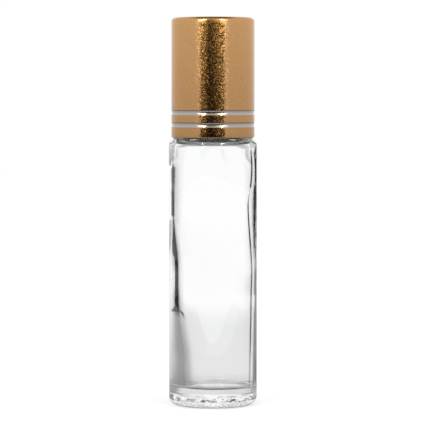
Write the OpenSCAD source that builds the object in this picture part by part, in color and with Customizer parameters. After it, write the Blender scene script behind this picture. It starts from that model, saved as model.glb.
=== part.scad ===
// Roll-on bottle of about 10 ml: a moulded glass bottle, a plug that holds the roller ball in its
// neck, and a screw cap made of a plastic liner inside a gold anodised aluminium shell.
// Millimetres, +Z up. The origin is the centre of the foot, on the surface that the bottle stands on.

/* [Bottle] */
// Outer diameter of the glass body
body_d = 20; // [19:0.1:26]
// Height of the glass shoulder above the foot
body_h = 60.8; // [45:0.1:90]
// Thickness of the glass wall of the body
wall = 1.7; // [1.2:0.05:2.4]
// Thickness of the glass floor at its corner
floor_t = 4.2; // [3:0.1:6]
// Thickness of the glass shoulder
shoulder_t = 1.2; // [1:0.1:3]
// Outer radius between the foot and the side
heel_r = 2; // [1:0.1:2.8]
// Outer radius between the side and the shoulder
shoulder_r = 1.6; // [1:0.1:2.3]
// Radius in the corner of the inner floor
floor_corner_r = 0.8; // [0.5:0.1:3]
// Radius in the corner of the inner shoulder
inner_shoulder_r = 0.7; // [0.5:0.1:2.6]
// Width of the ring that the bottle stands on
foot_w = 1.2; // [0.6:0.1:2]
// Height of the dome pushed up under the floor
punt_h = 0.9; // [0.4:0.1:1.6]

/* [Neck] */
// Diameter of the neck at the root of its thread
neck_d = 14; // [13:0.1:15]
// Height of the neck above the shoulder
neck_h = 12.6; // [11:0.1:15]
// Bore of the neck
neck_bore_d = 10.3; // [9.6:0.1:11]
// Height of the thread above the root
thread_rise = 0.8; // [0.5:0.05:1]
// Radius between the shoulder and the neck
neck_root_r = 0.7; // [0.3:0.1:1]
// Radius between the inner shoulder and the bore
neck_throat_r = 0.8; // [0.6:0.1:2]
// Radius on both edges of the mouth
lip_r = 0.45; // [0.2:0.05:0.7]
// Height of the bead at the bottom of the neck
bead_h = 1; // [0.6:0.1:1.4]

/* [Roller] */
// Diameter of the roller ball
ball_d = 9; // [7.6:0.1:10.4]
// Gap between the ball and its socket
ball_gap = 0.06; // [0.02:0.01:0.1]
// How far the socket wraps over the middle of the ball
socket_wrap = 1.5; // [1:0.1:2]
// Thickness of the collar round the ball
collar_wall = 1; // [0.6:0.1:1.4]
// Thickness of the flange that lies on the mouth
flange_t = 0.8; // [0.5:0.1:1.2]
// Length of the plug inside the neck
plug_l = 6.8; // [6:0.1:9]
// Thickness of the plug's skirt
plug_wall = 0.8; // [0.5:0.05:1]
// Gap between the plug and the bore
plug_gap = 0.12; // [0.05:0.01:0.2]
// Gap between the sealing beads and the bore
seal_gap = 0.01; // [0.01:0.01:0.04]
// Number of sealing beads round the plug
seal_count = 3; // [2:1:4]
// Diameter of the hole that feeds the ball
feed_d = 4.6; // [4.2:0.1:5]
// Number of flow grooves in the socket
groove_count = 6; // [3:1:8]
// Width of a flow groove
groove_w = 1.1; // [0.6:0.1:1.4]
// Depth of a flow groove
groove_depth = 0.3; // [0.15:0.05:0.4]

/* [Cap] */
// Height of the cap
cap_h = 27.15; // [25:0.05:34]
// Gap between the rounded shoulder and the edge of the shell
cap_gap = 0.15; // [0.1:0.05:0.8]
// Thickness of the aluminium shell
shell_t = 0.35; // [0.3:0.05:0.5]
// Outer radius at the top edge of the shell
crown_r = 0.9; // [0.85:0.05:1.8]
// Outer radius at the bottom edge of the shell
rim_r = 0.25; // [0.1:0.05:0.28]
// Height of the lower bright band above the bottom of the cap
band_z = 2.9; // [2:0.05:4]
// Distance from one bright band to the next
band_pitch = 2.75; // [2:0.05:3.4]
// Number of bright bands
band_count = 2; // [1:1:4]
// Width of a bright band
band_w = 1; // [0.7:0.05:1.4]
// Depth of the groove that makes a bright band
band_depth = 0.14; // [0.06:0.02:0.2]

/* [Liner] */
// Thickness of the liner between its bore and the foot of its splines
liner_wall = 0.85; // [0.6:0.05:1.2]
// Gap between the bore of the liner and the thread on the neck
thread_gap = 0.15; // [0.1:0.05:0.3]
// Gap between the splines and the shell
shell_gap = 0.05; // [0.02:0.01:0.1]
// Height of a spline
spline_rise = 0.25; // [0.15:0.05:0.4]
// Number of splines round the liner
spline_count = 24; // [12:1:36]
// Width of a spline
spline_w = 0.7; // [0.4:0.1:1]
// How far the liner stands back from the bottom of the shell
liner_inset = 0.4; // [0.2:0.1:1]
// Thickness of the web above the ball
web_t = 1.2; // [0.8:0.1:1.6]
// Gap between the seal cup and the ball
cup_gap = 0.12; // [0.05:0.01:0.2]
// How far the seal cup reaches down over the ball
cup_depth = 2.1; // [1.4:0.1:2.4]
// Thickness of the seal cup at its edge
cup_wall = 0.6; // [0.4:0.1:1]
// Thickness of the wall round the top chamber
top_wall = 0.9; // [0.8:0.05:1.4]
// Number of ribs above the web
rib_count = 6; // [3:1:8]
// Thickness of the ribs above the web
rib_t = 0.8; // [0.6:0.1:1.2]

/* [Hidden] */

// Facets of round shapes, and steps in a quarter turn of an outline
$fn = 96;
quarter_steps = 8;
// How far a cut runs past what it cuts
overrun = 1;

body_r = body_d / 2;
cavity_r = body_r - wall;
neck_r = neck_d / 2;
neck_bore_r = neck_bore_d / 2;
mouth_z = body_h + neck_h;
thread_r = neck_r + thread_rise;

// Round corners that face each other take no more than these shares of the ledge or rim between them
facing_share = 0.5;
rest_share = 0.95;
lip_share = 0.45;
outer_ledge = body_r - neck_r;
root_corner_r = min(neck_root_r, facing_share * outer_ledge);
shoulder_corner_r = min(shoulder_r, rest_share * (outer_ledge - root_corner_r));
inner_ledge = cavity_r - neck_bore_r;
throat_corner_r = min(neck_throat_r, facing_share * inner_ledge);
hollow_corner_r = min(inner_shoulder_r, rest_share * (inner_ledge - throat_corner_r));
lip_corner_r = min(lip_r, lip_share * (neck_r - neck_bore_r));

// The dome under the floor is part of a sphere that ends at the inside of the foot ring
foot_out_r = body_r - heel_r;
foot_in_r = foot_out_r - foot_w;
punt_r = (pow(foot_in_r, 2) + pow(punt_h, 2)) / (2 * punt_h);
punt_half_angle = asin(foot_in_r / punt_r);

// The bead stands as far out as the thread does
bead_z = body_h + root_corner_r;
bead_tip_shares = [0.3, 0.7];

ball_r = ball_d / 2;
socket_r = ball_r + ball_gap;
plug_r = neck_bore_r - plug_gap;
// The ball stands high enough to leave a full plug wall between its grooves and the bore
groove_r = socket_r + groove_depth;
ball_min_lift_share = 0.4;
ball_lift = sqrt(max(pow(groove_r, 2) - pow(plug_r - plug_wall, 2), pow(ball_min_lift_share * ball_r, 2)));
ball_z = mouth_z + ball_lift;
collar_r = socket_r + collar_wall;
collar_top_z = ball_z + socket_wrap;
collar_edge = collar_wall / 2;
flange_r = max(neck_r - lip_corner_r, collar_r + collar_edge);
flange_z = mouth_z + flange_t;
plug_z = mouth_z - plug_l;
feed_r = feed_d / 2;
// Under the ball, the cup wall is as thick as the skirt
cup_floor_z = ball_z - sqrt(pow(socket_r, 2) - pow(feed_r, 2)) - plug_wall;
lead_share = 0.75;
plug_lead = lead_share * plug_wall;
// The sealing beads run down the skirt from just under the flange
seal_bead_r = 2 * plug_gap;
seal_top_z = mouth_z - lip_corner_r;
seal_pitch = (seal_top_z - plug_z - plug_lead) / seal_count;

liner_bore_r = thread_r + thread_gap;
liner_r = liner_bore_r + liner_wall;
spline_r = liner_r + spline_rise;
shell_bore_r = spline_r + shell_gap;
shell_r = shell_bore_r + shell_t;
crown_bore_r = crown_r - shell_t;
// The edge of the shell comes down over the round of the shoulder, as far as its gap lets it
shoulder_flat_r = body_r - shoulder_corner_r;
edge_reach = min(max(shell_bore_r - shoulder_flat_r, 0), rest_share * shoulder_corner_r);
shoulder_fall = shoulder_corner_r - sqrt(pow(shoulder_corner_r, 2) - pow(edge_reach, 2));
cap_z = body_h - shoulder_fall + cap_gap;
cap_top_z = cap_z + cap_h;
liner_z = max(cap_z, body_h) + liner_inset;
liner_top_z = cap_top_z - shell_t - shell_gap;
// The top edge of the liner is round, to lie inside the shell's own round edge
liner_crown_r = crown_bore_r - shell_gap;

// The seal cup is part of a sphere about the ball, hung from the web
cup_r = ball_r + cup_gap;
web_z = ball_z + cup_r;
cup_edge_z = web_z - cup_depth;
cup_edge_r = sqrt(pow(cup_r, 2) - pow(cup_edge_z - ball_z, 2));
cup_out_r = cup_edge_r + cup_wall;
// Above the thread, the bore steps in to stand clear of the flange
upper_bore_r = max(neck_r, flange_r) + thread_gap;
step_z = mouth_z - (liner_bore_r - upper_bore_r);
liner_lead = liner_wall / 2;

// Round bottom of a bright band: an arc as wide as the band and as deep as its groove
band_arc_r = (pow(band_w / 2, 2) + pow(band_depth, 2)) / (2 * band_depth);

// Points of an arc about centre c, from angle a0 to angle a1
function arc(c, r, a0, a1, steps = quarter_steps) =
    [for (i = [0:steps]) let (a = a0 + (a1 - a0) * i / steps) c + r * [cos(a), sin(a)]];

// Outline of the solid glass, from the axis under the floor out to the mouth and back to the axis
function bottle_outside() = concat(
    arc([0, punt_h - punt_r], punt_r, 90, 90 - punt_half_angle),
    arc([foot_out_r, heel_r], heel_r, -90, 0),
    arc([body_r - shoulder_corner_r, body_h - shoulder_corner_r], shoulder_corner_r, 0, 90),
    arc([neck_r + root_corner_r, body_h + root_corner_r], root_corner_r, 270, 180),
    [
        for (s = bead_tip_shares) [thread_r, bead_z + s * bead_h],
        [neck_r, bead_z + bead_h]
    ],
    arc([neck_r - lip_corner_r, mouth_z - lip_corner_r], lip_corner_r, 0, 90),
    [[0, mouth_z]]
);

// Outline of the space in the glass, from the floor up through the mouth
function bottle_inside() = concat(
    [[0, floor_t]],
    arc([cavity_r - floor_corner_r, floor_t + floor_corner_r], floor_corner_r, 270, 360),
    arc(
        [cavity_r - hollow_corner_r, body_h - shoulder_t - hollow_corner_r],
        hollow_corner_r, 0, 90
    ),
    arc(
        [neck_bore_r + throat_corner_r, body_h - shoulder_t + throat_corner_r],
        throat_corner_r, 270, 180
    ),
    arc([neck_bore_r + lip_corner_r, mouth_z - lip_corner_r], lip_corner_r, 180, 90),
    [[neck_bore_r + lip_corner_r, mouth_z + overrun], [0, mouth_z + overrun]]
);

// Clear glass bottle with a thick floor, a domed foot and a bead at the bottom of its neck
module glass_bottle() {
    color("azure", 0.4)
    difference() {
        rotate_extrude() polygon(bottle_outside());
        rotate_extrude() polygon(bottle_inside());
    }
}

// Outline of the plug, flange and collar, filled to the axis
function housing_outside() = [
    [0, plug_z],
    [plug_r - plug_lead, plug_z],
    [plug_r, plug_z + plug_lead],
    [plug_r, mouth_z],
    [flange_r, mouth_z],
    [flange_r, flange_z],
    [collar_r, flange_z],
    [collar_r, collar_top_z - collar_edge],
    [collar_r - collar_edge, collar_top_z],
    [0, collar_top_z]
];

// A sealing bead is a round ring that stands out to the bore
module seal_bead(z) {
    translate([0, 0, z])
        rotate_extrude()
            translate([plug_r + plug_gap - seal_gap - seal_bead_r, 0])
                circle(r = seal_bead_r, $fn = 32);
}

// Flow grooves lead up from the feed hole to just over the middle of the ball
module flow_grooves() {
    intersection() {
        sphere(r = groove_r);
        for (i = [0:groove_count - 1])
            rotate(i * 360 / groove_count)
                translate([0, -groove_w / 2, -groove_r])
                    cube([groove_r, groove_w, groove_r + socket_wrap / 3]);
    }
}

// Plug that holds the ball: a soft plastic socket on a hollow skirt that seals in the neck
module roller_housing() {
    color("ghostwhite")
    difference() {
        union() {
            rotate_extrude() polygon(housing_outside());
            for (i = [0:seal_count - 1])
                seal_bead(seal_top_z - seal_bead_r - i * seal_pitch);
        }
        translate([0, 0, ball_z]) {
            sphere(r = socket_r);
            flow_grooves();
        }
        translate([0, 0, plug_z - overrun])
            cylinder(h = ball_z - plug_z, r = feed_r);
        translate([0, 0, plug_z - overrun])
            cylinder(h = cup_floor_z - plug_z + overrun, r = plug_r - plug_wall);
    }
}

// Polished steel ball
module roller_ball() {
    color("silver")
    translate([0, 0, ball_z])
        sphere(r = ball_r);
}

// Outline of the liner with its seal cup, filled inside the cup
function liner_section() = concat(
    [[liner_bore_r + liner_lead, liner_z], [liner_r, liner_z]],
    arc(
        [shell_bore_r - crown_bore_r, cap_top_z - shell_t - crown_bore_r],
        liner_crown_r, acos(1 - spline_rise / liner_crown_r), 90
    ),
    [
        [liner_r - top_wall, liner_top_z],
        [liner_r - top_wall, web_z + web_t],
        [0, web_z + web_t],
        [0, cup_edge_z],
        [cup_out_r, cup_edge_z],
        [cup_out_r, web_z],
        [upper_bore_r, web_z],
        [upper_bore_r, step_z],
        [liner_bore_r, step_z - (liner_bore_r - upper_bore_r)],
        [liner_bore_r, liner_z + liner_lead]
    ]
);

// Splines up the outside of the liner key it to the shell
module splines() {
    spline_foot = liner_r - liner_wall / 2;
    for (i = [0:spline_count - 1])
        rotate(i * 360 / spline_count)
            translate([spline_foot, -spline_w / 2, liner_z + liner_lead])
                cube([spline_r - spline_foot, spline_w, liner_top_z - crown_r - liner_z - liner_lead]);
}

// Ribs across the top chamber of the liner carry the crown of the shell
module crown_ribs() {
    rib_l = liner_r - top_wall / 2;
    for (i = [0:rib_count - 1])
        rotate(i * 360 / rib_count)
            translate([0, -rib_t / 2, web_z + web_t / 2])
                cube([rib_l, rib_t, liner_top_z - web_z - web_t / 2]);
}

// Plastic liner of the cap: threaded skirt, seal cup over the ball and a ribbed top chamber
module cap_liner() {
    color("white")
    difference() {
        union() {
            rotate_extrude() polygon(liner_section());
            intersection() {
                splines();
                cylinder(h = cap_top_z, r = spline_r);
            }
            crown_ribs();
        }
        translate([0, 0, ball_z]) sphere(r = cup_r);
    }
}

// Outside and inside of the drawn shell
function shell_outside() = concat(
    [[0, cap_z]],
    arc([shell_r - rim_r, cap_z + rim_r], rim_r, 270, 360),
    arc([shell_r - crown_r, cap_top_z - crown_r], crown_r, 0, 90),
    [[0, cap_top_z]]
);
function shell_inside() = concat(
    [[0, cap_z - overrun], [shell_bore_r, cap_z - overrun]],
    arc(
        [shell_bore_r - crown_bore_r, cap_top_z - shell_t - crown_bore_r],
        crown_bore_r, 0, 90
    ),
    [[0, cap_top_z - shell_t]]
);

// A bright band is a shallow round groove that cuts through the gold skin
module bright_band(z) {
    translate([0, 0, z])
        rotate_extrude()
            translate([shell_r - band_depth + band_arc_r, 0])
                circle(r = band_arc_r);
}

// Aluminium shell of the cap, drawn from sheet and closed at the top
module cap_shell() {
    color("goldenrod")
    difference() {
        rotate_extrude() polygon(shell_outside());
        rotate_extrude() polygon(shell_inside());
        for (i = [0:band_count - 1]) bright_band(cap_z + band_z + i * band_pitch);
    }
}

glass_bottle();
roller_housing();
roller_ball();
cap_liner();
cap_shell();
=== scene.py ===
# %% [markdown]
# Roll-on bottle
#
# This lesson dresses a small perfume bottle: a clear glass bottle, a steel ball in a plastic plug, and a
# gold cap with a plastic liner. The solids of the bottle come in as a fixed frame. Each piece is then made
# again as a fine surface, in the same place and at the same size, with a finish of its own.

# %% Load the frame
import math

import bmesh
import bpy
import numpy as np
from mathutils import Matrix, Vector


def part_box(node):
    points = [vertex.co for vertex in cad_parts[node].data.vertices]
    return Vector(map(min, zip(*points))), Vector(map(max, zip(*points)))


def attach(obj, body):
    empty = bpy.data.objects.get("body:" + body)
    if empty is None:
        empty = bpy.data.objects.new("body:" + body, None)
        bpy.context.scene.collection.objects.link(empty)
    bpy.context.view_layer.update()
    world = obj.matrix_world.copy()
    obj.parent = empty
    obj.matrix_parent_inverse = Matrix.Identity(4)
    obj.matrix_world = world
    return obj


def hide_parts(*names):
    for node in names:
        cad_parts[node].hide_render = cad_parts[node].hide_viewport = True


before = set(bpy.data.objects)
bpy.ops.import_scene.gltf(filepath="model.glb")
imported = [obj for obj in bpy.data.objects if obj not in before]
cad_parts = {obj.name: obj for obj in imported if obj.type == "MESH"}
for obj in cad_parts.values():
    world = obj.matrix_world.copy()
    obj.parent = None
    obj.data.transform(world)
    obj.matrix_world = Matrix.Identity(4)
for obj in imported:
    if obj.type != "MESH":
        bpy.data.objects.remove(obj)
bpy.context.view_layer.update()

# %% [markdown]
# Sizes
#
# Bottles are drawn in millimetres, and Blender counts in metres, so one value turns the one into the other.
# The sizes that the solids already have are read from their boxes. A surface that is made from them can't
# drift away from its solid when a size changes there.

# %% Sizes read from the solids
MM = 0.001
neck_h = 12.6


def box_mm(node):
    """Lowest and highest corner of a solid, in millimetres."""
    low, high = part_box(node)
    return np.array(low) / MM, np.array(high) / MM


bottle_high = box_mm("glass_bottle")[1]
housing_low, housing_high = box_mm("roller_housing")
ball_low, ball_high = box_mm("roller_ball")
liner_low, liner_high = box_mm("cap_liner")
shell_low, shell_high = box_mm("cap_shell")

body_r = bottle_high[0]
mouth_z = bottle_high[2]
shoulder_z = mouth_z - neck_h
flange_r = housing_high[0]
collar_top_z = housing_high[2]
plug_low_z = housing_low[2]
ball_r = (ball_high[2] - ball_low[2]) / 2
ball_z = (ball_high[2] + ball_low[2]) / 2
spline_r = liner_high[0]
liner_low_z, liner_top_z = liner_low[2], liner_high[2]
shell_r = shell_high[0]
cap_low_z, cap_top_z = shell_low[2], shell_high[2]
print(f"body radius {body_r:.2f}, shoulder at {shoulder_z:.2f}, mouth at {mouth_z:.2f}")
print(f"ball radius {ball_r:.2f}, cap from {cap_low_z:.2f} to {cap_top_z:.2f}")

# %% [markdown]
# Surfaces of revolution
#
# Every piece here was turned, drawn or moulded round one axis. Its outline is a path of straight stretches
# with a round at each corner, which is how a drawing of it would be dimensioned. The path is then swept
# round the axis. Blender's Screw modifier could do that, but a grid of points worked out with numpy can
# also carry what isn't round: the thread on a neck, the splines on a liner, the uneven inside of glass.

# %% Outlines
def straight(start, end, step):
    """Evenly spaced points after start, up to and with end."""
    count = max(1, math.ceil(np.linalg.norm(end - start) / step))
    share = np.arange(1, count + 1)[:, None] / count
    return list(start + (end - start) * share) if np.linalg.norm(end - start) > 1e-6 else []


def rounded_path(corners, step=1.0, arc_step=15.0):
    """Points along corners given as (r, z, rounding radius).

    A corner with a radius becomes an arc that touches both of its straight stretches: it starts and ends
    radius * tan(turn / 2) away from the corner. Straight stretches get a point every step, arcs every
    arc_step degrees.
    """
    corners = np.array(corners, float)
    place, radius = corners[:, :2], corners[:, 2]
    points = [place[0]]
    for before, here, after, r in zip(place, place[1:], place[2:], radius[1:-1]):
        arrive = (here - before) / np.linalg.norm(here - before)
        leave = (after - here) / np.linalg.norm(after - here)
        turn = math.acos(np.clip(arrive @ leave, -1, 1))
        reach = r * math.tan(turn / 2)
        start = here - arrive * reach
        points += straight(points[-1], start, step)
        if r > 0:
            side = math.copysign(1, arrive[0] * leave[1] - arrive[1] * leave[0])
            inward = np.array([-arrive[1], arrive[0]]) * side
            count = max(2, math.ceil(math.degrees(turn) / arc_step))
            angle = np.linspace(0, turn, count + 1)[1:, None]
            points += list(start + r * np.sin(angle) * arrive + r * (1 - np.cos(angle)) * inward)
    points += straight(points[-1], place[-1], step)
    return np.array(points)


print("points on a rounded corner:", len(rounded_path([(0, 0, 0), (5, 0, 1), (5, 5, 0)])))


# %% Hills, steps and spokes
def bump(distance, half_width):
    """A smooth hill: 1 at distance 0, falling as a cosine to 0 at half_width."""
    share = np.clip(np.abs(distance) / half_width, 0, 1)
    return 0.5 + 0.5 * np.cos(math.pi * share)


def rise(value, low, high):
    """A smooth step from 0 at low to 1 at high: 3 s^2 - 2 s^3."""
    share = np.clip((value - low) / (high - low), 0, 1)
    return share * share * (3 - 2 * share)


def from_nearest(angle, count):
    """How far an angle lies from the nearest of evenly spaced ones, as a share of their spacing."""
    return (angle * count / (2 * math.pi) + 0.5) % 1 - 0.5


def spoke(angle, radius, count, width, edge=0.04):
    """1 on straight spokes of a width, evenly spaced round the axis, and 0 between them.

    At radius r and an angle a from the middle of the nearest spoke, a point lies r sin a beside it.
    """
    beside = np.abs(radius * np.sin(from_nearest(angle, count) * 2 * math.pi / count))
    return rise(width / 2 - beside, -edge, edge)


print(f"a hill at its middle, halfway out and at its foot: {bump(0, 2)}, {bump(1, 2):.1f}, {bump(2, 2)}")


# %% Sweeps
def spread(outline, columns):
    """The outline at every angle: arrays of radius, height and angle, with a row for each point."""
    radius = np.repeat(outline[:, :1], columns, 1)
    height = np.repeat(outline[:, 1:], columns, 1)
    return radius, height, 2 * math.pi * np.arange(columns) / columns + 0 * height


def weld(mesh):
    """Merges the points on the axis and turns every face outwards."""
    work = bmesh.new()
    work.from_mesh(mesh)
    bmesh.ops.remove_doubles(work, verts=work.verts, dist=1e-7)
    bmesh.ops.dissolve_degenerate(work, edges=work.edges, dist=1e-8)
    bmesh.ops.recalc_face_normals(work, faces=work.faces)
    work.to_mesh(mesh)
    work.free()


def swept(name, radius, height, body, solid, ring=False):
    """Sweeps an outline round the axis: point = (r cos a, r sin a, z) at angle a.

    radius and height are arrays with a row for each point of the outline and a column for each angle.
    Rows that start or end on the axis close there in one point. With ring, the last row joins the first.
    """
    rows, columns = radius.shape
    angle = 2 * math.pi * np.arange(columns) / columns
    grid = np.stack([radius * np.cos(angle), radius * np.sin(angle), height], -1)
    index = np.arange(rows * columns).reshape(rows, columns)
    lower = index if ring else index[:-1]
    upper = np.roll(index, -1, 0) if ring else index[1:]
    quads = np.stack([lower, np.roll(lower, -1, 1), np.roll(upper, -1, 1), upper], -1).reshape(-1, 4)
    mesh = bpy.data.meshes.new(name)
    mesh.from_pydata((grid.reshape(-1, 3) * MM).tolist(), [], quads.tolist())
    piece = bpy.data.objects.new(name, mesh)
    bpy.context.scene.collection.objects.link(piece)
    weld(mesh)
    mesh.shade_smooth()
    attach(piece, body)
    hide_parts(solid)
    print(f"{name}: {len(mesh.polygons)} faces, {2 * radius.max():.2f} mm across")
    return piece


# %% [markdown]
# Screw threads
#
# A thread is a ridge whose height depends on how far a point lies from a helix. At angle a and height z the
# helix has made (z - start) / pitch turns, and the distance to its nearest turn is what is left after
# taking whole turns away. The ridge fades in and out at its two ends, as a mould cuts it. A power below 1
# makes its crest fuller than a cosine.

# %% Threads
thread_pitch = 3.0
thread_start_z = shoulder_z + 3.2
thread_turns = 1.75
thread_fade = 0.12
crest_power = 0.6


def thread(angle, z, half_width, start_z, turns=thread_turns):
    """Height of a thread from 0 to 1 at an angle in radians and a height z."""
    count = (z - start_z) / thread_pitch - angle / (2 * math.pi)
    nearest = np.round(count)
    along = nearest + angle / (2 * math.pi)
    ends = rise(along, 0, thread_fade) * rise(turns - along, 0, thread_fade)
    return bump((count - nearest) * thread_pitch, half_width) ** crest_power * ends


print(f"thread: {thread_turns} turns of {thread_pitch} mm, from {thread_start_z:.2f} mm up")

# %% [markdown]
# The uneven inside of the glass
#
# Small bottles are blown in a steel mould, so the outside is true and the inside isn't: the glass is thick
# in one place and thin in another, in long soft waves. Those waves matter more than anything else to how
# the bottle looks. Its sides mirror the room, and every change in the wall bends that dark line. A noise
# texture could make some waves, but not a thick left foot, a thin left shoulder and a thin right side, as
# this bottle has. So each side's wave is given by its value at a few heights.

# %% The uneven inside of the glass
side_middle = 72
left_wave = ((5, 0.95), (12, 0.87), (17, 0.54), (21, 0.3), (26, 0.22), (31, 0.2), (33, 0.15), (34.5, 0.07),
             (36, -0.04), (42.5, -0.53), (45, -0.53), (48, -0.53), (51, -0.46), (57, -0.4))
right_wave = ((6, -0.75), (26, -0.85), (31, -1.2), (36, -0.9), (50, -0.9), (57, -0.6))
ridge_path = ((5, 62), (14, 64), (20, 66), (24.5, 66), (30, 67), (36, 64.5), (41.5, 60), (45.8, 58),
              (48, 60.5), (50, 65), (53, 69))
ridge_height = 0.16
ridge_width = 2.9
ridge_low_share = 0.4
ridge_low_z = 8
ridge_full_z = 22
wave_top_z = 62
wave_step = 0.25
wave_blur = np.hanning(7) / np.hanning(7).sum()
roof_z = shoulder_z - 1.2
roof_fade = 5


def wave_at(z, knots):
    """A soft curve through a few heights, each given with its value there.

    Straight stretches join the heights, and a moving mean over 1.5 mm rounds their corners.
    """
    heights, extra = np.array(knots).T
    fine = np.arange(0, wave_top_z, wave_step)
    smooth = np.convolve(np.interp(fine, heights, extra), wave_blur, "same")
    return np.interp(z, fine, smooth)


def uneven_wall(angle, z):
    """How much thicker the wall is than its mean, in millimetres.

    Each side of the bottle has its own wave up the wall, and the two fade into each other round the
    bottle. The right side also has a narrow ridge, a bell curve across the path that it winds up along.
    """
    side = np.degrees(np.arctan2(np.cos(angle), -np.sin(angle)))
    left = bump(side + side_middle, side_middle) * wave_at(z, left_wave)
    right = bump(side - side_middle, side_middle) * wave_at(z, right_wave)
    ridge = ridge_height * np.exp(-((side - wave_at(z, ridge_path)) / ridge_width) ** 2)
    ridge = ridge * (ridge_low_share + (1 - ridge_low_share) * rise(z, ridge_low_z, ridge_full_z))
    return (left + right + ridge) * rise(roof_z - z, 0, roof_fade)


print(f"wall 30 mm up: left {wave_at(30, left_wave):+.2f} mm, right {wave_at(30, right_wave):+.2f} mm")

# %% [markdown]
# The glass bottle
#
# One outline goes from the middle of the domed foot, up the outside and over the lip, and down the inside
# to the middle of the floor. The thread is added to its rows on the neck, and the uneven wall is taken
# from the radius of its rows inside the body.

# %% The glass bottle
wall = 1.7
floor_z = 4.2
floor_crown = 0.1
floor_corner_r = 0.8
shoulder_r = 1.6
inner_shoulder_r = 0.7
heel_r = 2.0
foot_inner_r = 6.8
foot_round_r = 0.5
punt_h = 0.9
neck_r = 7.0
neck_bore_r = 5.15
root_r = 0.7
throat_r = 0.8
lip_r = 0.45
bead_z = shoulder_z + root_r
bead_h = 1.0
bead_slope_h = 0.3
bead_round_r = 0.2
thread_rise = 0.8
thread_half = 0.75
thread_low_z = bead_z + 1.45
thread_high_z = mouth_z - 0.6
glass_columns = 288
dome_rows = 10
thread_row_step = 0.15


def glass_bottle():
    """The bottle as one closed surface.

    The dome under the foot is z = punt_h (1 - (r / foot_inner_r)^2). The radius of the neck grows by the
    thread. Inside the body it shrinks by the uneven wall, and less towards the middle of the floor.
    """
    dome_r = np.linspace(0, foot_inner_r - 0.4, dome_rows)
    dome = np.stack([dome_r, punt_h * (1 - (dome_r / foot_inner_r) ** 2)], -1)
    rest = rounded_path([
        (*dome[-1], 0),
        (foot_inner_r, 0, foot_round_r),
        (body_r, 0, heel_r),
        (body_r, shoulder_z, shoulder_r),
        (neck_r, shoulder_z, root_r),
        (neck_r, bead_z, 0),
        (neck_r + thread_rise, bead_z + bead_slope_h, bead_round_r),
        (neck_r + thread_rise, bead_z + bead_h - bead_slope_h, bead_round_r),
        (neck_r, bead_z + bead_h, 0.1),
        (neck_r, bead_z + bead_h + bead_slope_h, 0),
    ], arc_step=8)
    threaded = [(neck_r, z) for z in np.arange(thread_low_z, thread_high_z, thread_row_step)]
    inside = rounded_path([
        (neck_r, thread_high_z, 0),
        (neck_r, mouth_z, lip_r),
        (neck_bore_r, mouth_z, lip_r),
        (neck_bore_r, roof_z, throat_r),
        (body_r - wall, roof_z, inner_shoulder_r),
        (body_r - wall, floor_z, floor_corner_r),
        (0, floor_z + floor_crown, 0),
    ], arc_step=9)
    outline = np.concatenate([dome, rest[1:], threaded, inside])
    radius, height, angle = spread(outline, glass_columns)
    row = np.arange(len(outline))[:, None]
    outer_rows = row < len(dome) + len(rest) + len(threaded)
    on_neck = outer_rows & (height > bead_z + 1.2) & (height < thread_high_z)
    radius = radius + on_neck * thread_rise * thread(angle, height, thread_half, thread_start_z)
    inside_body = ~outer_rows & (height < roof_z)
    extra = inside_body * uneven_wall(angle, height)
    print(f"wall from {wall + extra.min():.2f} to {wall + extra.max():.2f} mm")
    radius = radius - extra * radius / (body_r - wall)
    return swept("glass_bottle_fine", radius, height, "bottle", "glass_bottle")


bottle = glass_bottle()

# %% [markdown]
# The roller housing
#
# The plug is soft plastic. Its skirt presses into the neck, its flange lies on the mouth, and its socket
# closes a little above the middle of the ball, so the ball snaps in and can't fall out. Six grooves in the
# socket let the liquid up past the ball. They are pushed outwards in the socket's own rows, because a cut
# with a Boolean would leave a ragged mesh there.

# %% The roller housing
socket_r = ball_r + 0.06
collar_r = socket_r + 1.0
collar_edge_r = 0.45
flange_z = mouth_z + 0.8
plug_r = neck_bore_r - 0.12
plug_bore_r = plug_r - 0.8
plug_lead = 0.6
feed_r = 2.3
socket_floor_z = ball_z - math.sqrt(socket_r**2 - feed_r**2)
bore_top_z = socket_floor_z - 0.8
seal_beads_z = (mouth_z - 0.7, mouth_z - 2.6, mouth_z - 4.5)
seal_bead_rise = 0.11
seal_bead_half = 0.3
groove_count = 6
groove_w = 1.1
groove_depth = 0.3
groove_top_z = ball_z + 0.5
groove_end_z = ball_z - math.sqrt((socket_r + groove_depth)**2 - feed_r**2)
socket_rows = 30


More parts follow.
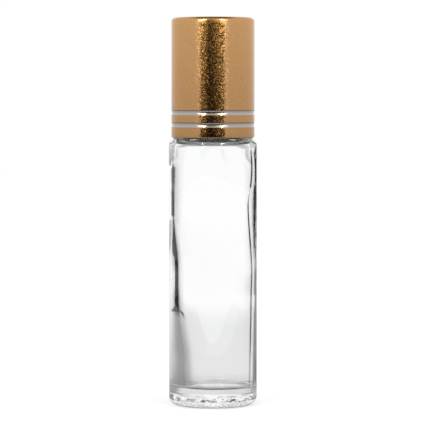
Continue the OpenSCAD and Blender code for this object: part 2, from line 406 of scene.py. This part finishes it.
def roller_housing(columns=192):
    """The plug as a ring: up its outside, over the collar, down the socket and the bore.

    Each sealing bead adds a hill to the radius of the skirt. In a groove the socket's sphere grows by
    groove_depth, and the edge of the feed hole comes down to meet it.
    """
    outside = rounded_path([
        (plug_bore_r, plug_low_z, 0),
        (plug_r - plug_lead, plug_low_z, 0.15),
        (plug_r, plug_low_z + plug_lead, 0.3),
        (plug_r, mouth_z, 0),
        (flange_r, mouth_z, 0.15),
        (flange_r, flange_z, 0.25),
        (collar_r, flange_z, 0.2),
        (collar_r, collar_top_z, collar_edge_r),
        (math.sqrt(socket_r**2 - (collar_top_z - ball_z)**2), collar_top_z, 0.12),
        (socket_r - 0.05, ball_z + 1.0, 0),
    ], step=0.2, arc_step=12)
    sweep = np.linspace(math.asin(1.0 / socket_r), -math.acos(feed_r / socket_r), socket_rows)
    socket = np.stack([socket_r * np.cos(sweep), ball_z + socket_r * np.sin(sweep)], -1)
    bore = rounded_path([
        (feed_r, socket_floor_z - 0.1, 0),
        (feed_r, bore_top_z, 0.1),
        (plug_bore_r, bore_top_z, 0.2),
        (plug_bore_r, plug_low_z + 0.2, 0),
    ], step=0.4)
    outline = np.concatenate([outside, socket[1:], bore])
    radius, height, angle = spread(outline, columns)
    beads = sum(bump(height - z, seal_bead_half) for z in seal_beads_z)
    radius = radius + (np.abs(radius - plug_r) < 0.02) * seal_bead_rise * beads
    row = np.arange(len(outline))[:, None]
    bore_row = len(outside) + len(socket) - 1
    groove = spoke(angle, radius, groove_count, groove_w) * rise(groove_top_z - height, 0, 0.1)
    on_feed = (row >= bore_row) & (height > groove_end_z)
    deeper = 1 + ((row >= len(outside)) & (row < bore_row)) * groove * groove_depth / socket_r
    radius, height = radius * deeper, ball_z + (height - ball_z) * deeper
    height = height - on_feed * groove * (height - groove_end_z)
    print(f"socket radius {socket_r:.2f}, feed hole {2 * feed_r:.1f} mm wide")
    return swept(
        "roller_housing_fine", radius, height, "bottle", "roller_housing", ring=True)


housing = roller_housing()

# %% [markdown]
# The ball
#
# A ball is the simplest sweep of all, half a circle round the axis. Its poles are closed by the weld.

# %% The ball
def roller_ball(columns=128, rows=65):
    """A ball: r = ball_r cos t and z = ball_z + ball_r sin t, for t from straight down to straight up."""
    tilt = np.linspace(-math.pi / 2, math.pi / 2, rows)
    outline = np.stack([ball_r * np.cos(tilt), ball_z + ball_r * np.sin(tilt)], -1)
    outline[[0, -1], 0] = 0
    radius, height, _ = spread(outline, columns)
    return swept("roller_ball_fine", radius, height, "ball", "roller_ball")


ball = roller_ball()

# %% [markdown]
# The cap's liner
#
# The liner is what screws on the neck. A cup under its web closes on the ball, six ribs brace the chamber
# over the web, and splines round its outside keep it from turning in the metal shell.

# %% The cap's liner
liner_bore_r = 7.95
liner_r = liner_bore_r + 0.85
liner_lead = 0.4
upper_bore_r = 7.15
bore_step = liner_bore_r - upper_bore_r
step_z = mouth_z - bore_step
cup_r = ball_r + 0.12
cup_wall = 0.6
web_z = ball_z + cup_r
web_t = 1.2
cup_edge_z = web_z - 2.1
cup_edge_r = math.sqrt(cup_r**2 - (cup_edge_z - ball_z)**2)
chamber_r = liner_r - 0.9
spline_count = 24
spline_half = 1.1 * 0.7 / 2.3
spline_power = 0.5
liner_thread_rise = 0.62
liner_thread_half = 0.7
liner_thread_turns = 2.0
rib_count = 6
rib_t = 0.8
cup_rows = 16


def cap_liner(columns=360):
    """The liner as one closed surface, from the top of the cup round to the top of the web.

    The thread is taken from the radius of the bore, half a pitch below the thread on the neck. A spline
    adds a hill to the outside. In the chamber a rib lifts the height up to the liner's top.
    """
    sweep = np.linspace(math.pi / 2, math.asin((cup_edge_z - ball_z) / cup_r), cup_rows)
    cup = np.stack([cup_r * np.cos(sweep), ball_z + cup_r * np.sin(sweep)], -1)
    cup[0, 0] = 0
    under = rounded_path([
        (cup_edge_r, cup_edge_z, 0),
        (cup_edge_r + cup_wall, cup_edge_z, 0.1),
        (cup_edge_r + cup_wall, web_z, 0.3),
        (upper_bore_r, web_z, 0.3),
        (upper_bore_r, step_z, 0),
        (liner_bore_r, step_z - bore_step, 0.1),
        (liner_bore_r, liner_low_z + liner_lead, 0.1),
        (liner_bore_r + liner_lead, liner_low_z, 0.1),
        (liner_r, liner_low_z, 0.15),
        (liner_r, liner_low_z + 0.3, 0),
    ], step=0.18, arc_step=20)
    out = rounded_path([
        (liner_r, liner_low_z + 0.5, 0),
        (liner_r, liner_top_z - 0.6, 0.3),
        (liner_r - 0.6, liner_top_z, 0.1),
        (chamber_r, liner_top_z, 0.1),
        (chamber_r, web_z + web_t, 0.3),
        (chamber_r - 0.6, web_z + web_t, 0),
    ], step=0.6, arc_step=30)
    web = np.array(straight(out[-1], np.array([0, web_z + web_t]), 0.3))
    outline = np.concatenate([cup, under[1:], out, web])
    radius, height, angle = spread(outline, columns)
    on_bore = np.abs(radius - liner_bore_r) < 0.02
    ridge = thread(angle, height, liner_thread_half, thread_start_z - thread_pitch / 2, liner_thread_turns)
    radius = radius - on_bore * liner_thread_rise * ridge
    spline = bump(from_nearest(angle, spline_count), spline_half) ** spline_power
    on_skirt = (height > liner_low_z + 0.4) & (height < liner_top_z - 1)
    on_spline = on_skirt & (np.abs(radius - liner_r) < 0.02)
    radius = radius + on_spline * (spline_r - liner_r) * spline
    in_chamber = (radius < chamber_r + 0.01) & (height > web_z + web_t / 2)
    rib = in_chamber * spoke(angle, radius, rib_count, rib_t)
    height = height + rib * (liner_top_z - height)
    return swept("cap_liner_fine", radius, height, "cap", "cap_liner")


liner = cap_liner()

# %% [markdown]
# The cap's shell
#
# The shell is drawn from thin aluminium, anodised gold, and then turned on a lathe for a moment: a round
# tool cuts two shallow grooves through the gold, and bright metal shows in them. The rows lie close
# together there, so that the grooves come from the mesh and catch the light as the real ones do.

# %% The cap's shell
shell_t = 0.35
crown_r = 0.9
rim_r = 0.25
band_heights = (2.9, 5.65)
band_w = 1.0
band_depth = 0.14
band_arc_r = ((band_w / 2)**2 + band_depth**2) / (2 * band_depth)
band_row_step = 0.05


def cap_shell(columns=256):
    """The shell as one closed surface, from the middle of its ceiling down, round the rim and up.

    A groove is the part of a circle of radius band_arc_r that reaches band_depth into the metal.
    """
    inner_r = shell_r - shell_t
    inside = rounded_path([
        (0, cap_top_z - shell_t, 0),
        (inner_r, cap_top_z - shell_t, crown_r - shell_t),
        (inner_r, cap_low_z, 0.1),
        (shell_r, cap_low_z, rim_r),
        (shell_r, cap_low_z + 1.0, 0),
    ], step=1.0, arc_step=12)
    side = [(shell_r, z) for z in np.arange(cap_low_z + 1.05, cap_low_z + 7.2, band_row_step)]
    top = rounded_path([
        (shell_r, cap_low_z + 7.4, 0),
        (shell_r, cap_top_z, crown_r),
        (0, cap_top_z, 0),
    ], step=1.0, arc_step=7)
    radius, height, _ = spread(np.concatenate([inside, side, top]), columns)
    for band_z in band_heights:
        away = height - cap_low_z - band_z
        groove = np.sqrt(np.clip(band_arc_r**2 - away**2, 0, None)) - (band_arc_r - band_depth)
        radius = radius - (radius > shell_r - 0.01) * np.clip(groove, 0, None)
    return swept("cap_shell_fine", radius, height, "cap", "cap_shell")


shell = cap_shell()

# %% [markdown]
# Writing shaders as sums
#
# Node trees are easier to read as formulas. The class Term holds one output of a node and knows what
# plus, minus and times mean, so `1 - mask` adds a Math node by itself. Every other node comes from one
# method, add, which takes the node's type, its settings and the values or links of its inputs.

# %% Shader maths
class Term:
    """One output of a node, which can be used in sums."""

    def __init__(self, tree, socket):
        self.tree, self.socket = tree, socket

    def math(self, operation, *values):
        """A Math node on one or two values or terms."""
        return self.tree.add("ShaderNodeMath", {"operation": operation}, dict(enumerate(values)))

    def __add__(self, other):
        return self.math("ADD", self, other)

    def __radd__(self, other):
        return self.math("ADD", other, self)

    def __sub__(self, other):
        return self.math("SUBTRACT", self, other)

    def __rsub__(self, other):
        return self.math("SUBTRACT", other, self)

    def __mul__(self, other):
        return self.math("MULTIPLY", self, other)

    def __rmul__(self, other):
        return self.math("MULTIPLY", other, self)

    def __truediv__(self, other):
        return self.math("DIVIDE", self, other)

    def __gt__(self, other):
        return self.math("GREATER_THAN", self, other)

    def __lt__(self, other):
        return self.math("LESS_THAN", self, other)

    def __abs__(self):
        return self.math("ABSOLUTE", self)


# %% Trees of nodes
class Tree:
    """The node tree of a material or of the world."""

    def __init__(self, owner):
        owner.use_nodes = True
        self.nodes, self.links = owner.node_tree.nodes, owner.node_tree.links
        self.nodes.clear()

    def add(self, kind, settings=None, inputs=None, out=0):
        """Adds a node. Settings are set first, then inputs, and the output named out comes back."""
        node = self.nodes.new(kind)
        for key, value in (settings or {}).items():
            setattr(node, key, value)
        for key, value in (inputs or {}).items():
            if isinstance(value, Term):
                self.links.new(value.socket, node.inputs[key])
            else:
                node.inputs[key].default_value = value
        return Term(self, node.outputs[out]) if node.outputs else None

    def axes(self, vector):
        """The x, y and z of a vector."""
        split = self.add("ShaderNodeSeparateXYZ", inputs={0: vector})
        return [Term(self, socket) for socket in split.socket.node.outputs]

    def vector(self, operation, first, second=None, out=0):
        """One sum on vectors. SCALE takes its number on a socket of its own."""
        second_socket = "Scale" if operation == "SCALE" else 1
        inputs = {0: first} if second is None else {0: first, second_socket: second}
        return self.add("ShaderNodeVectorMath", {"operation": operation}, inputs, out)

    def blend(self, factor, first, second):
        """A colour between two colours."""
        settings = {"data_type": "RGBA", "clamp_factor": True}
        return self.add("ShaderNodeMix", settings, {0: factor, 6: first, 7: second}, out=2)

    def step(self, value, low, high):
        """A smooth step from 0 at low to 1 at high."""
        settings = {"interpolation_type": "SMOOTHSTEP"}
        return self.add("ShaderNodeMapRange", settings, {"Value": value, "From Min": low, "From Max": high})

    def between(self, value, low, full, still_full, high):
        """1 from full to still_full, with a smooth step down to 0 at low and at high."""
        return self.step(value, low, full) * (1 - self.step(value, still_full, high))

    def angle(self, sideways, ahead):
        """The angle from ahead towards sideways, in degrees."""
        turn = self.add("ShaderNodeMath", {"operation": "ARCTAN2"}, {0: sideways, 1: ahead})
        return turn * (180 / math.pi)

    def rays(self, *names):
        """Outputs of the Light Path node, which say what kind of ray asks."""
        outputs = self.add("ShaderNodeLightPath").socket.node.outputs
        return [Term(self, outputs[name]) for name in names]


# %% [markdown]
# Finishes
#
# Each finish is one Principled shader. A number that is the same all over a piece is set on the shader's
# own socket. What changes over the surface is linked afterwards, and a plain roughness is still given
# first, because a viewer that can't read the nodes falls back on it.

# %% Finishes
def finish(name, piece, **constants):
    """A material with one Principled shader, put on a piece."""
    material = bpy.data.materials.new(name)
    tree = Tree(material)
    tree.surface = tree.add("ShaderNodeBsdfPrincipled", inputs=constants).socket.node
    tree.add("ShaderNodeOutputMaterial", inputs={0: Term(tree, tree.surface.outputs[0])})
    tree.place = tree.add("ShaderNodeTexCoord", out="Object")
    piece.data.materials.clear()
    piece.data.materials.append(material)
    print(f"{name} is on {piece.name}")
    return tree


def noise(tree, scale, detail):
    """A noise texture over the piece's own place in metres."""
    return tree.add("ShaderNodeTexNoise", inputs={"Vector": tree.place, "Scale": scale, "Detail": detail})


def feed(tree, **links):
    """Links changing values to the Principled shader of a finish."""
    for key, term in links.items():
        tree.links.new(term.socket, tree.surface.inputs[key.replace("_", " ")])


# %% [markdown]
# Clear glass
#
# Glass needs little: full transmission, its index of refraction, and hardly any colour. What makes it
# look like moulded glass is a faint roll of the outside surface, and a fine stipple round the heel, which
# a mould presses there so that the hot foot rests on points and doesn't crack.

# %% Clear glass
stipple_share = 5
heel_full_mm = 0.9
heel_end_mm = 1.9
glass = finish(
    "clear_glass", bottle,
    **{"Base Color": (0.995, 0.998, 0.998, 1), "Roughness": 0.0, "IOR": 1.52, "Transmission Weight": 1.0},
)
roll = noise(glass, 90.0, 1.0)
stipple = noise(glass, 1700.0, 1.0)
on_heel = 1 - glass.step(glass.axes(glass.place)[2] / MM, heel_full_mm, heel_end_mm)
feed(glass, Normal=glass.add("ShaderNodeBump", inputs={
    "Strength": 0.4, "Distance": 0.00008, "Height": roll + on_heel * stipple * stipple_share,
}))

# %% [markdown]
# Natural and white plastic
#
# Both are satin mouldings. The plug has no pigment, so it is milky and lets some light into it.

# %% Plastics
natural = finish(
    "natural_plastic", housing,
    **{"Base Color": (0.86, 0.88, 0.86, 1), "Roughness": 0.34, "IOR": 1.49, "Subsurface Weight": 0.35,
       "Subsurface Scale": 0.002},
)
white = finish(
    "white_plastic", liner,
    **{"Base Color": (0.85, 0.85, 0.82, 1), "Roughness": 0.4, "IOR": 1.49},
)
for plastic in (natural, white):
    flow = noise(plastic, 900.0, 3.0)
    skin = plastic.add("ShaderNodeBump", inputs={"Strength": 0.3, "Distance": 0.00002, "Height": flow})
    feed(plastic, Roughness=0.3 + flow * 0.15, Normal=skin)

# %% [markdown]
# Polished steel
#
# A bearing ball is ground and tumbled: a mirror with faint marks that run every way.

# %% Polished steel
steel = finish(
    "polished_steel", ball,
    **{"Base Color": (0.62, 0.62, 0.63, 1), "Metallic": 1.0, "Roughness": 0.08},
)
marks = noise(steel, 1500.0, 4.0)
feed(steel, Roughness=0.04 + marks * 0.1)

# %% [markdown]
# Gold anodised aluminium
#
# The gold skin is a mirror with a fine grain in it. Most of the cap mirrors an even bright room, where the
# grain can't be seen. Only where it mirrors the dark behind the camera does each grain flash on its own.
# So the grain leans the normal, cell by cell, and some cells are rougher than others. A few cells lean
# much more than the rest: those are the sparks.

# %% The grain of the gold
grain_scale = 7000.0
grain_even = 0.05
grain_lean = 0.1
grain_smooth = 0.06
grain_rough = 0.14
gold = finish("gold_aluminium", shell, **{"Metallic": 1.0, "Roughness": 0.15})
grain = gold.add("ShaderNodeTexVoronoi", inputs={"Vector": gold.place, "Scale": grain_scale}, out=1)
lean = gold.vector("SUBTRACT", grain, (0.5, 0.5, 0.5))
lean = gold.vector("SCALE", lean, grain_even + gold.vector("DOT_PRODUCT", lean, lean, out=1) * grain_lean)
normal = gold.add("ShaderNodeNewGeometry", out="Normal")
fleck = gold.axes(grain)[0]
feed(
    gold,
    Roughness=grain_smooth + fleck * fleck * fleck * grain_rough,
    Normal=gold.vector("NORMALIZE", gold.vector("ADD", normal, lean)),
)

# %% [markdown]
# The bands and the colour
#
# The bands are the same metal without the skin, so a mask by height changes the colour there. The upper
# edge of each groove is painted dark, a painted shade along the edge. The skin is a little cloudy, and its
# colour is painted a touch darker towards the bottom of the cap and lighter at the top, a painted shade for
# the darker low part of the room that the lower cap mirrors.

# %% The colour of the cap
# The groove edges get a painted shade: a strip this wide, darkened by this share.
band_edge_half = 0.12
band_edge_dark = 0.5
# Painted shade down the cap: its colour is scaled darker towards the bottom and lighter towards the top.
shade_middle = 0.98
shade_per_mm = 0.0085
shade_middle_z = 74
bare_metal = (0.45, 0.43, 0.42, 1)
height_mm = gold.axes(gold.place)[2] / MM
in_bands = 0
painted_groove_shade = 0
for band_z in band_heights:
    above_band = height_mm - (cap_low_z + band_z)
    in_bands = in_bands + (abs(above_band) < band_w / 2)
    # Each groove's upper edge is marked here for its painted shade.
    painted_groove_shade = painted_groove_shade + (abs(above_band - band_w / 2) < band_edge_half)
cloud = noise(gold, 120.0, 2.0)
gold_skin = gold.blend(cloud, (0.485, 0.267, 0.112, 1), (0.535, 0.302, 0.132, 1))
# shade is painted shade: the gradient down the cap times the dark groove edges.
shade = (shade_middle + shade_per_mm * (height_mm - shade_middle_z)) * (1 - band_edge_dark * painted_groove_shade)
feed(gold, Base_Color=gold.vector("SCALE", gold.blend(in_bands, gold_skin, bare_metal), shade))
print("nodes in the gold:", len(gold.nodes))

# %% [markdown]
# The camera
#
# The photo was taken from about half a metre away, with the lens level with the cap, just above its bands,
# and tipped down a little. The ellipses of the foot and the bands give that height. The lens follows from
# the distance, because the body has to be as wide in the frame as it is in the photo.

# %% The camera
FRAME_PX = 425
BODY_WIDTH_PX = 88.05
camera_away = 0.54
camera_height = 0.070
aim_height = 0.04375
aim_side = -0.0001
sensor_mm = 36.0

half_angle = math.asin(body_r * MM / camera_away)
lens_px = BODY_WIDTH_PX / 2 / math.tan(half_angle)
camera_data = bpy.data.cameras.new("camera")
camera_data.sensor_width = sensor_mm
camera_data.lens = sensor_mm * lens_px / FRAME_PX
camera = bpy.data.objects.new("camera", camera_data)
bpy.context.scene.collection.objects.link(camera)
pitch = math.atan2(camera_height - aim_height, camera_away)
camera.location = (0, -camera_away, camera_height)
camera.rotation_euler = (math.pi / 2 - pitch, 0, math.atan2(-aim_side, camera_away))
bpy.context.scene.camera = camera
print(f"lens {camera_data.lens:.1f} mm, tipped down {math.degrees(pitch):.2f} degrees")

# %% [markdown]
# The room
#
# A mirror and a piece of glass have no colour to show but the room's. This room is the one that the photo
# tells of: bright all round, dark behind the camera, and dark past the back corners of the table, below
# the lights. The world shader paints it by direction. Each part of it is a zone, 1 inside and 0 outside,
# given in degrees: by bearing, which is 0 straight behind the bottle and grows to the right, and by
# elevation over the horizon. Camera rays see plain white instead. Some zones are seen by one kind of ray
# only, as no real room could do, so that a line in the glass can be set without changing the gold.

# %% Directions in the room
world = bpy.data.worlds.new("room")
bpy.context.scene.world = world
room = Tree(world)
east, north, up = room.axes(room.add("ShaderNodeTexCoord", out="Generated"))
bearing = room.angle(east, north)
elevation = room.add("ShaderNodeMath", {"operation": "ARCSINE"}, {0: up}) * (180 / math.pi)
camera_ray, glass_ray, glossy_ray, sharp_ray = room.rays(
    "Is Camera Ray", "Is Transmission Ray", "Is Glossy Ray", "Is Singular Ray")
turn = abs(bearing)
on_left = bearing < 0
on_right = bearing > 0

# %% [markdown]
# The dark behind the camera
#
# The dark strip down the cap is the dark part of the studio, mirrored. It is a sector round the camera,
# dim at its sides and nearly black in its core. The skin of the gold scatters a little of what it mirrors
# there, and that light is warm.

# %% The dark behind the camera
core_dimmer_right = 0.3
side_dim, side_rise = 0.1, 1.5
core_dim, core_rise = 0.015, 0.5
side_on = room.angle(east, 0 - north)
sector_wide = room.between(side_on, -37, -34, 29, 33)
core = room.between(side_on, -22, -14, 8, 16) * (1 - core_dimmer_right * room.step(side_on, -1, 1))
above_sill = sharp_ray * room.step(elevation, 0, 2) + (1 - sharp_ray) * room.step(elevation, -35, -25)
sector = sector_wide * (1 - room.step(elevation, 30, 50)) * above_sill
side_light = side_dim + side_rise * room.step(elevation, 1.5, 6)
core_light = core_dim + core_rise * room.step(elevation, 1.5, 7)
in_sector = side_light * (1 - core) + core_light * core
warm = sector * glossy_ray * (1 - sharp_ray)

# %% [markdown]
# The dark that glass finds
#
# Clear glass is seen by the lines that it draws. Near its sides it bends a ray so far that it looks past
# the back corners of the table. The corners are dark just under the horizon, and the light starts at a
# bearing that differs left and right, as the lines in the photo do. Sharp reflections find dark corners
# too, and rays that the heel bends upwards find a grey patch over the far end of the table.

# %% The dark that glass finds
corner_dark = 0.98
mirror_dark = 0.95
heel_dark = 0.45
above_strip = room.step(elevation, -4.1, -3.7)
corner_from = 16 + on_right * (3 * room.step(elevation, -2, -0.5) - 1) + 13 * room.step(elevation, -0.5, 2)
corners = room.step(turn - corner_from, 0, 3) * (1 - room.step(turn, 74, 80))
corners = corners * (1 - on_right * (1 - above_strip)) * (1 - room.step(elevation, -1, 8))
mirror_left = on_left * room.between(turn, 40, 46, 80, 86) * room.step(elevation, -5.6, -5.2)
mirror_right = on_right * room.between(turn, 16, 22, 66, 74) * above_strip
mirrored = (mirror_left + mirror_right) * (1 - room.step(elevation, -1.8, 1.0))
mirrored = mirrored * sharp_ray * (1 - glass_ray)
under_heel = room.between(turn, 5, 8, 36, 50) * room.between(elevation, 6, 8, 12, 15)
dark_low = glass_ray * (corner_dark * corners + heel_dark * under_heel * (1 - corners))
dark_low = dark_low + mirror_dark * mirrored

# %% [markdown]
# The light of the room
#
# The ceiling is dim, and so is the low part, but that only for soft rays. Two glows beside the camera, seen
# by soft rays too, lighten the skin of the gold next to the dark strip.

# %% The light of the room
ceiling_dark = 0.8
low_dark = 0.17
glass_dim = 0.025
glow_light = 3
warm_green = 0.1
warm_blue = 0.4
ceiling = room.step(elevation, 50, 65)
low_part = (1 - sharp_ray) * (1 - glass_ray) * (1 - room.step(elevation, -2, 1.5))
glow = room.between(abs(side_on + 2), 20, 30, 38, 46) * room.between(elevation, 3, 8, 25, 32)
glow = glow * (1 - sharp_ray)
light = (1 - sector + sector * in_sector) * (1 - dark_low)
light = light * (1 - ceiling * ceiling_dark) * (1 - low_dark * low_part)
light = light * (1 - glass_dim * glass_ray) + glow * glow_light
seen = light + camera_ray * (1 - light)
red_green_blue = {0: seen, 1: seen * (1 - warm_green * warm), 2: seen * (1 - warm_blue * warm)}
tint = room.add("ShaderNodeCombineXYZ", inputs=red_green_blue)
sky = room.add("ShaderNodeBackground", inputs={"Color": tint, "Strength": 1.0})
room.add("ShaderNodeOutputWorld", inputs={0: sky})
print("nodes in the room:", len(room.nodes))

# %% [markdown]
# The floor
#
# The table is a narrow white sheet, so that past its edges glass looks down into the dark. It lies a hair
# below the foot, because a ray that slips in between them is lost and leaves the foot black.

# %% The floor
table_side = 0.25
table_front = 0.12
table_back = 1.6
table_drop = 0.00005


def table():
    """A sheet with its corners at x = -side and side, y = -front and back, and z = -drop, in metres."""
    mesh = bpy.data.meshes.new("table")
    corners = [(-table_side, -table_front, -table_drop), (table_side, -table_front, -table_drop),
               (table_side, table_back, -table_drop), (-table_side, table_back, -table_drop)]
    mesh.from_pydata(corners, [], [(0, 1, 2, 3)])
    piece = bpy.data.objects.new("table", mesh)
    bpy.context.scene.collection.objects.link(piece)
    return piece


floor = table()
print(f"table {2 * table_side * 1000:.0f} mm wide, from {table_front * 1000:.0f} mm before the bottle")

# %% [markdown]
# The floor's zones
#
# These zones are painted shade on the sheet: dark patches for the uneven light of a lit sheet, which glass
# shows. They are given by bearing in degrees and by how far away a place is, in metres. Only rays through
# glass see them, so the sheet itself stays plain. Both sides of the sheet are painted a grey shade, and the
# far left corner is painted dark, where the left line of the bottle comes from. In front of the bottle only
# rays that were mirrored inside it see the painted grey, so that the bottle is bright from behind as well.

# %% The floor's zones
near_corner_dark = 0.5
left_dark = 0.66
right_dark = 0.7


def floor_shade(tree, bearing, away, mirrored_times):
    """How much painted shade darkens each place of the floor seen through glass, from 0 to 1."""
    turn, on_left, on_right = abs(bearing), bearing < 0, bearing > 0
    near_corner = tree.step(away, 0.105, 0.12) * tree.step(turn, 38, 46)
    corner_from = 24 + 17 * tree.step(away, 0.165, 0.19) - 22 * tree.step(away, 0.42, 0.48)
    corner = tree.step(away, 0.13, 0.152) * tree.step(turn - corner_from, -2, 2)
    corner = corner + (1 - corner) * near_corner_dark * near_corner
    corner = on_left * (1 - tree.step(turn, 74, 80)) * corner
    side_left = on_left * tree.step(turn, 16, 50) * (1 - tree.step(away, 0.2, 0.4)) * left_dark
    side_left = side_left * (1 - tree.step(turn, 66, 76) * tree.step(away, 0.19, 0.24))
    side_right = on_right * tree.step(turn + 60 * away, 21, 34)
    side_right = side_right * (1 - tree.step(away, 0.2, 0.24)) * right_dark
    straight_through = mirrored_times < 0.5
    sides = (1 - (1 - side_left) * (1 - side_right)) * (1 - straight_through * tree.step(turn, 74, 88))
    return 1 - (1 - corner) * (1 - sides)


def floor_lift(tree, bearing, away):
    """Painted light that brightens the floor past its paper in glass and gloss: more, further away."""
    under_front = tree.step(abs(bearing), 105, 120) * (1 - tree.step(away, 0.018, 0.024))
    lift = 0.08 + 0.058 * tree.step(away, 0.045, 0.065) + 0.072 * tree.step(away, 0.17, 0.27)
    lift = lift + 0.03 * tree.step(away, 0.4, 0.9)
    return lift * (1 - under_front)


# %% [markdown]
# The white sheet
#
# The paper is plain grey-white and keeps the bottle's shadow. The camera sees half a unit more light on
# it, which brings it to white. Rays through glass or off gloss see the painted lift, and those through
# glass see the painted shade of the zones as well.

# %% The white sheet
camera_lift = 0.5
paper_grey = (0.6, 0.6, 0.6, 1)
painted_zone_shade = (0.02, 0.02, 0.02, 1)


def white_sheet():
    """Paper plus a painted glow, mixed with a glow of painted shade where glass sees a shaded zone."""
    material = bpy.data.materials.new("white_sheet")
    tree = Tree(material)
    camera_ray, glossy_ray, glass_ray, mirrored_times = tree.rays(
        "Is Camera Ray", "Is Glossy Ray", "Is Transmission Ray", "Glossy Depth")
    place = tree.add("ShaderNodeTexCoord", out="Object")
    bearing = tree.angle(*tree.axes(place)[:2])
    away = tree.add("ShaderNodeVectorMath", {"operation": "LENGTH"}, {0: place}, out=1)
    # The lift is painted light: a glow that grows with distance, so the floor near the bottle is painted
    # darker.
    lift = camera_ray * camera_lift + (glossy_ray + glass_ray) * floor_lift(tree, bearing, away)
    lifted = tree.add("ShaderNodeCombineXYZ", inputs={0: lift, 1: lift, 2: lift})
    paper = tree.add("ShaderNodeBsdfDiffuse", inputs={"Color": paper_grey})
    glow = tree.add("ShaderNodeEmission", inputs={"Color": lifted, "Strength": 1.0})
    bright = tree.add("ShaderNodeAddShader", inputs={0: paper, 1: glow})
    # The dark glow is painted shade, seen through glass in the floor's zones.
    dark = tree.add("ShaderNodeEmission", inputs={"Color": painted_zone_shade})
    shaded = floor_shade(tree, bearing, away, mirrored_times) * glass_ray
    both = tree.add("ShaderNodeMixShader", inputs={0: shaded, 1: bright, 2: dark})
    tree.add("ShaderNodeOutputMaterial", inputs={0: both})
    print("nodes in the sheet:", len(tree.nodes))
    return material


floor.data.materials.append(white_sheet())

# %% [markdown]
# The softboxes
#
# Two tall softboxes stand left and right of the camera, above the table's height. They put the bright
# spots on the crown of the cap, on the bands and on the shoulder.

# %% The softboxes
softbox_away = 0.9
softbox_low = 0.29
softbox_high = 0.65
softbox_width = 0.075
softbox_watts = 2.2


def softbox(name, bearing_deg):
    """A tall area lamp that faces the bottle from a bearing counted from the camera."""
    data = bpy.data.lights.new(name, "AREA")
    data.shape = "RECTANGLE"
    data.size, data.size_y = softbox_width, softbox_high - softbox_low
    data.energy = softbox_watts
    lamp = bpy.data.objects.new(name, data)
    bpy.context.scene.collection.objects.link(lamp)
    turn = math.radians(bearing_deg)
    middle_z = (softbox_low + softbox_high) / 2
    lamp.location = (softbox_away * math.sin(turn), -softbox_away * math.cos(turn), middle_z)
    lamp.rotation_euler = (math.pi / 2, 0, turn)


softbox("softbox_left", -27)
softbox("softbox_right", 26)
print(f"softboxes {softbox_width * 1000:.0f} mm wide and {(softbox_high - softbox_low) * 1000:.0f} mm tall")

# %% [markdown]
# Ray bounces
#
# A ray may bend more often than usual here. It has to go in and out of thick glass many times at a rim or a
# thread, and a ray that is cut short there is black.

bpy.context.scene.view_settings.view_transform = "Standard"
bpy.context.scene.cycles.glossy_bounces = 16
bpy.context.scene.cycles.transmission_bounces = 24
bpy.context.scene.cycles.max_bounces = 32
